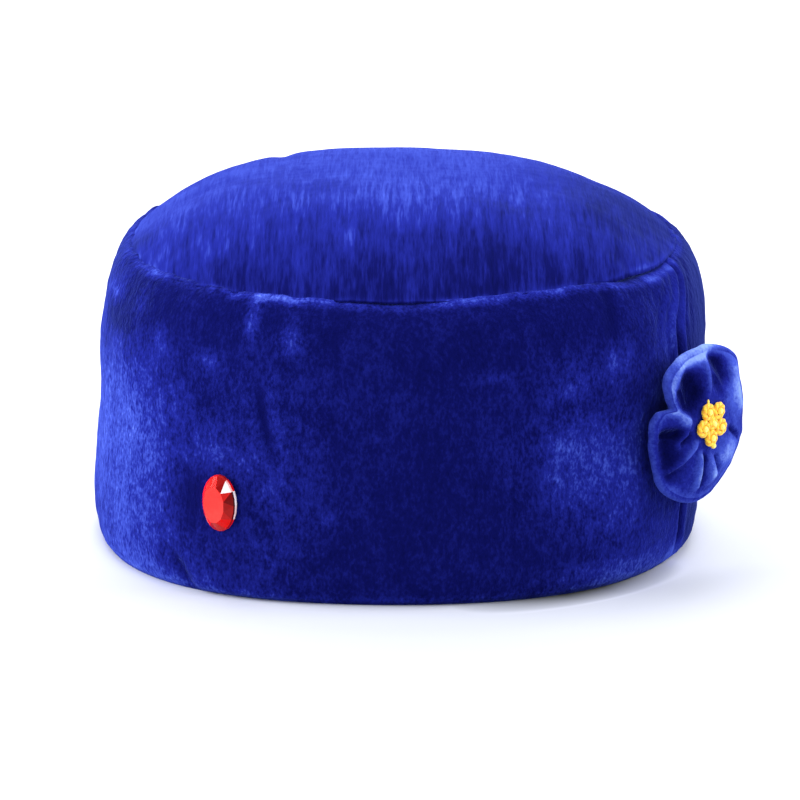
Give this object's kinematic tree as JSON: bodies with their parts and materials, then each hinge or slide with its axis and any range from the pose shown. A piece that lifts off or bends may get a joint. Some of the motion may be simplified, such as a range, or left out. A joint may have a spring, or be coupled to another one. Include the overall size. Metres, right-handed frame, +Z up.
{
  "type": "funeral hat",
  "caption": "Round domed velvet funeral hat that stands on its rim, with a flat-backed oval gem low on the front and a gathered rosette with a cord blossom on the side.",
  "frame": {"origin": "centre of the rim's plane, where the head goes in", "axes": "+Z up through the crown, -Y to the front with the gem, +X to the wearer's left with the rosette"},
  "size_m": [0.2235, 0.2112, 0.1191],
  "materials": {
    "velvet": "deep blue plush velvet with a soft, mottled nap",
    "crown_velvet": "deep blue plush velvet, its nap brushed from front to back",
    "rosette_velvet": "deep blue plush velvet, doubled and gathered",
    "gem": "clear red faceted acrylic",
    "cord": "golden yellow twisted cord with a silky shine"
  },
  "bodies": {
    "root": {"side_band": "velvet", "crown_top": "crown_velvet", "gem": "gem", "rosette": "rosette_velvet", "cord_petal_1": "cord", "cord_petal_2": "cord", "cord_petal_3": "cord", "cord_petal_4": "cord", "cord_petal_5": "cord", "cord_center": "cord"}
  },
  "joints": []
}
